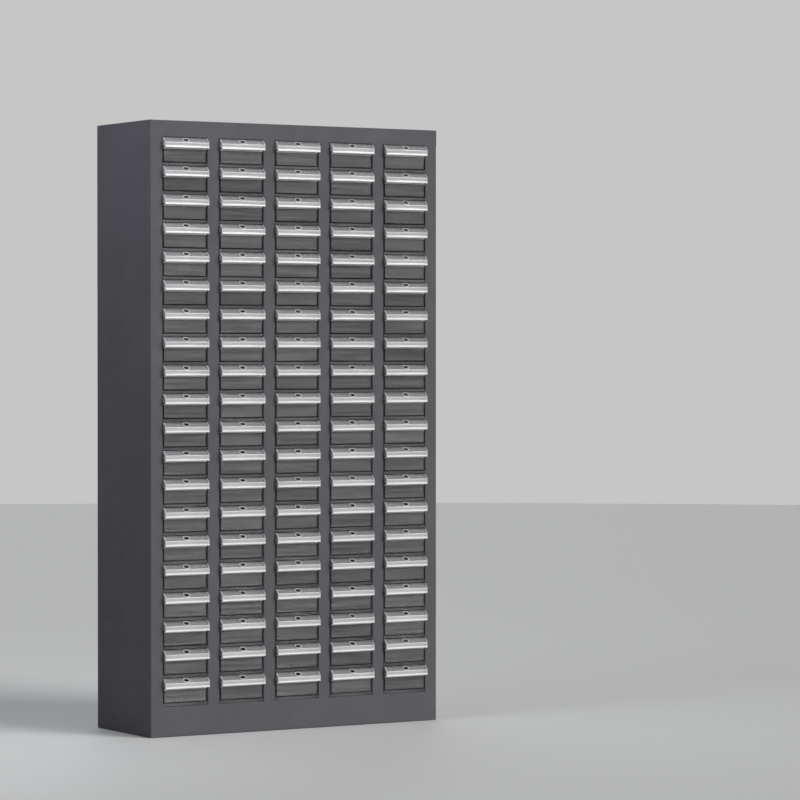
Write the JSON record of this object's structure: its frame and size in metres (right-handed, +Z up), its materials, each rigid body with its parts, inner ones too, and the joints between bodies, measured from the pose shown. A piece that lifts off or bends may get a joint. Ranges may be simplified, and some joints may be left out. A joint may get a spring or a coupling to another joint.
{
  "type": "parts bin cabinet",
  "caption": "Tall free-standing steel parts cabinet with upright bays of clear plastic drawers, each with a sloping pull lip, that slide out on steel angles.",
  "frame": {"origin": "on the floor under the centre of the cabinet's bounding box, drawer lips and rivet heads included", "axes": "+Z up, the drawers' fronts face -Y, X runs across the cabinet with +X on the right for someone who faces its front"},
  "size_m": [0.6, 0.2202, 1.1],
  "materials": {
    "painted_steel": "fine-textured grey powder coat, satin",
    "clear_plastic": "clear moulded polystyrene, glossy",
    "rivet_aluminium": "plain blind rivets, dull"
  },
  "bodies": {
    "cabinet": {"top_panel": "painted_steel", "side_panel_left": "painted_steel", "side_panel_right": "painted_steel", "bay_lining_left": "painted_steel", "bay_lining_right": "painted_steel", "plinth": "painted_steel", "back_panel": "painted_steel", "divider_1": "painted_steel", "divider_2": "painted_steel", "divider_3": "painted_steel", "divider_4": "painted_steel", "runners_left": "painted_steel", "runners_right": "painted_steel", "back_rivets": "rivet_aluminium"},
    "drawer_row1_column1": {"drawer_row1_column1": "clear_plastic"},
    "drawer_row1_column2": {"drawer_row1_column2": "clear_plastic"},
    "drawer_row1_column3": {"drawer_row1_column3": "clear_plastic"},
    "drawer_row1_column4": {"drawer_row1_column4": "clear_plastic"},
    "drawer_row1_column5": {"drawer_row1_column5": "clear_plastic"},
    "drawer_row2_column1": {"drawer_row2_column1": "clear_plastic"},
    "drawer_row2_column2": {"drawer_row2_column2": "clear_plastic"},
    "drawer_row2_column3": {"drawer_row2_column3": "clear_plastic"},
    "drawer_row2_column4": {"drawer_row2_column4": "clear_plastic"},
    "drawer_row2_column5": {"drawer_row2_column5": "clear_plastic"},
    "drawer_row3_column1": {"drawer_row3_column1": "clear_plastic"},
    "drawer_row3_column2": {"drawer_row3_column2": "clear_plastic"},
    "drawer_row3_column3": {"drawer_row3_column3": "clear_plastic"},
    "drawer_row3_column4": {"drawer_row3_column4": "clear_plastic"},
    "drawer_row3_column5": {"drawer_row3_column5": "clear_plastic"},
    "drawer_row4_column1": {"drawer_row4_column1": "clear_plastic"},
    "drawer_row4_column2": {"drawer_row4_column2": "clear_plastic"},
    "drawer_row4_column3": {"drawer_row4_column3": "clear_plastic"},
    "drawer_row4_column4": {"drawer_row4_column4": "clear_plastic"},
    "drawer_row4_column5": {"drawer_row4_column5": "clear_plastic"},
    "drawer_row5_column1": {"drawer_row5_column1": "clear_plastic"},
    "drawer_row5_column2": {"drawer_row5_column2": "clear_plastic"},
    "drawer_row5_column3": {"drawer_row5_column3": "clear_plastic"},
    "drawer_row5_column4": {"drawer_row5_column4": "clear_plastic"},
    "drawer_row5_column5": {"drawer_row5_column5": "clear_plastic"},
    "drawer_row6_column1": {"drawer_row6_column1": "clear_plastic"},
    "drawer_row6_column2": {"drawer_row6_column2": "clear_plastic"},
    "drawer_row6_column3": {"drawer_row6_column3": "clear_plastic"},
    "drawer_row6_column4": {"drawer_row6_column4": "clear_plastic"},
    "drawer_row6_column5": {"drawer_row6_column5": "clear_plastic"},
    "drawers_row7": {"drawers_row7": "clear_plastic"},
    "drawers_row8": {"drawers_row8": "clear_plastic"},
    "drawers_row9": {"drawers_row9": "clear_plastic"},
    "drawers_row10": {"drawers_row10": "clear_plastic"},
    "drawers_row11": {"drawers_row11": "clear_plastic"},
    "drawers_row12": {"drawers_row12": "clear_plastic"},
    "drawers_row13": {"drawers_row13": "clear_plastic"},
    "drawers_row14": {"drawers_row14": "clear_plastic"},
    "drawers_row15": {"drawers_row15": "clear_plastic"},
    "drawers_row16": {"drawers_row16": "clear_plastic"},
    "drawers_row17": {"drawers_row17": "clear_plastic"},
    "drawers_row18": {"drawers_row18": "clear_plastic"},
    "drawers_row19": {"drawers_row19": "clear_plastic"},
    "drawers_row20": {"drawers_row20": "clear_plastic"}
  },
  "joints": [
    {"name": "slide_row1_column1", "type": "slide", "parent": "cabinet", "child": "drawer_row1_column1", "axis": [0, -1, 0], "range_m": [0, 0.16]},
    {"name": "slide_row1_column2", "type": "slide", "parent": "cabinet", "child": "drawer_row1_column2", "axis": [0, -1, 0], "range_m": [0, 0.16]},
    {"name": "slide_row1_column3", "type": "slide", "parent": "cabinet", "child": "drawer_row1_column3", "axis": [0, -1, 0], "range_m": [0, 0.16]},
    {"name": "slide_row1_column4", "type": "slide", "parent": "cabinet", "child": "drawer_row1_column4", "axis": [0, -1, 0], "range_m": [0, 0.16]},
    {"name": "slide_row1_column5", "type": "slide", "parent": "cabinet", "child": "drawer_row1_column5", "axis": [0, -1, 0], "range_m": [0, 0.16]},
    {"name": "slide_row2_column1", "type": "slide", "parent": "cabinet", "child": "drawer_row2_column1", "axis": [0, -1, 0], "range_m": [0, 0.16]},
    {"name": "slide_row2_column2", "type": "slide", "parent": "cabinet", "child": "drawer_row2_column2", "axis": [0, -1, 0], "range_m": [0, 0.16]},
    {"name": "slide_row2_column3", "type": "slide", "parent": "cabinet", "child": "drawer_row2_column3", "axis": [0, -1, 0], "range_m": [0, 0.16]},
    {"name": "slide_row2_column4", "type": "slide", "parent": "cabinet", "child": "drawer_row2_column4", "axis": [0, -1, 0], "range_m": [0, 0.16]},
    {"name": "slide_row2_column5", "type": "slide", "parent": "cabinet", "child": "drawer_row2_column5", "axis": [0, -1, 0], "range_m": [0, 0.16]},
    {"name": "slide_row3_column1", "type": "slide", "parent": "cabinet", "child": "drawer_row3_column1", "axis": [0, -1, 0], "range_m": [0, 0.16]},
    {"name": "slide_row3_column2", "type": "slide", "parent": "cabinet", "child": "drawer_row3_column2", "axis": [0, -1, 0], "range_m": [0, 0.16]},
    {"name": "slide_row3_column3", "type": "slide", "parent": "cabinet", "child": "drawer_row3_column3", "axis": [0, -1, 0], "range_m": [0, 0.16]},
    {"name": "slide_row3_column4", "type": "slide", "parent": "cabinet", "child": "drawer_row3_column4", "axis": [0, -1, 0], "range_m": [0, 0.16]},
    {"name": "slide_row3_column5", "type": "slide", "parent": "cabinet", "child": "drawer_row3_column5", "axis": [0, -1, 0], "range_m": [0, 0.16]},
    {"name": "slide_row4_column1", "type": "slide", "parent": "cabinet", "child": "drawer_row4_column1", "axis": [0, -1, 0], "range_m": [0, 0.16]},
    {"name": "slide_row4_column2", "type": "slide", "parent": "cabinet", "child": "drawer_row4_column2", "axis": [0, -1, 0], "range_m": [0, 0.16]},
    {"name": "slide_row4_column3", "type": "slide", "parent": "cabinet", "child": "drawer_row4_column3", "axis": [0, -1, 0], "range_m": [0, 0.16]},
    {"name": "slide_row4_column4", "type": "slide", "parent": "cabinet", "child": "drawer_row4_column4", "axis": [0, -1, 0], "range_m": [0, 0.16]},
    {"name": "slide_row4_column5", "type": "slide", "parent": "cabinet", "child": "drawer_row4_column5", "axis": [0, -1, 0], "range_m": [0, 0.16]},
    {"name": "slide_row5_column1", "type": "slide", "parent": "cabinet", "child": "drawer_row5_column1", "axis": [0, -1, 0], "range_m": [0, 0.16]},
    {"name": "slide_row5_column2", "type": "slide", "parent": "cabinet", "child": "drawer_row5_column2", "axis": [0, -1, 0], "range_m": [0, 0.16]},
    {"name": "slide_row5_column3", "type": "slide", "parent": "cabinet", "child": "drawer_row5_column3", "axis": [0, -1, 0], "range_m": [0, 0.16]},
    {"name": "slide_row5_column4", "type": "slide", "parent": "cabinet", "child": "drawer_row5_column4", "axis": [0, -1, 0], "range_m": [0, 0.16]},
    {"name": "slide_row5_column5", "type": "slide", "parent": "cabinet", "child": "drawer_row5_column5", "axis": [0, -1, 0], "range_m": [0, 0.16]},
    {"name": "slide_row6_column1", "type": "slide", "parent": "cabinet", "child": "drawer_row6_column1", "axis": [0, -1, 0], "range_m": [0, 0.16]},
    {"name": "slide_row6_column2", "type": "slide", "parent": "cabinet", "child": "drawer_row6_column2", "axis": [0, -1, 0], "range_m": [0, 0.16]},
    {"name": "slide_row6_column3", "type": "slide", "parent": "cabinet", "child": "drawer_row6_column3", "axis": [0, -1, 0], "range_m": [0, 0.16]},
    {"name": "slide_row6_column4", "type": "slide", "parent": "cabinet", "child": "drawer_row6_column4", "axis": [0, -1, 0], "range_m": [0, 0.16]},
    {"name": "slide_row6_column5", "type": "slide", "parent": "cabinet", "child": "drawer_row6_column5", "axis": [0, -1, 0], "range_m": [0, 0.16]},
    {"name": "slide_row7", "type": "slide", "parent": "cabinet", "child": "drawers_row7", "axis": [0, -1, 0], "range_m": [0, 0.16]},
    {"name": "slide_row8", "type": "slide", "parent": "cabinet", "child": "drawers_row8", "axis": [0, -1, 0], "range_m": [0, 0.16]},
    {"name": "slide_row9", "type": "slide", "parent": "cabinet", "child": "drawers_row9", "axis": [0, -1, 0], "range_m": [0, 0.16]},
    {"name": "slide_row10", "type": "slide", "parent": "cabinet", "child": "drawers_row10", "axis": [0, -1, 0], "range_m": [0, 0.16]},
    {"name": "slide_row11", "type": "slide", "parent": "cabinet", "child": "drawers_row11", "axis": [0, -1, 0], "range_m": [0, 0.16]},
    {"name": "slide_row12", "type": "slide", "parent": "cabinet", "child": "drawers_row12", "axis": [0, -1, 0], "range_m": [0, 0.16]},
    {"name": "slide_row13", "type": "slide", "parent": "cabinet", "child": "drawers_row13", "axis": [0, -1, 0], "range_m": [0, 0.16]},
    {"name": "slide_row14", "type": "slide", "parent": "cabinet", "child": "drawers_row14", "axis": [0, -1, 0], "range_m": [0, 0.16]},
    {"name": "slide_row15", "type": "slide", "parent": "cabinet", "child": "drawers_row15", "axis": [0, -1, 0], "range_m": [0, 0.16]},
    {"name": "slide_row16", "type": "slide", "parent": "cabinet", "child": "drawers_row16", "axis": [0, -1, 0], "range_m": [0, 0.16]},
    {"name": "slide_row17", "type": "slide", "parent": "cabinet", "child": "drawers_row17", "axis": [0, -1, 0], "range_m": [0, 0.16]},
    {"name": "slide_row18", "type": "slide", "parent": "cabinet", "child": "drawers_row18", "axis": [0, -1, 0], "range_m": [0, 0.16]},
    {"name": "slide_row19", "type": "slide", "parent": "cabinet", "child": "drawers_row19", "axis": [0, -1, 0], "range_m": [0, 0.16]},
    {"name": "slide_row20", "type": "slide", "parent": "cabinet", "child": "drawers_row20", "axis": [0, -1, 0], "range_m": [0, 0.16]}
  ]
}
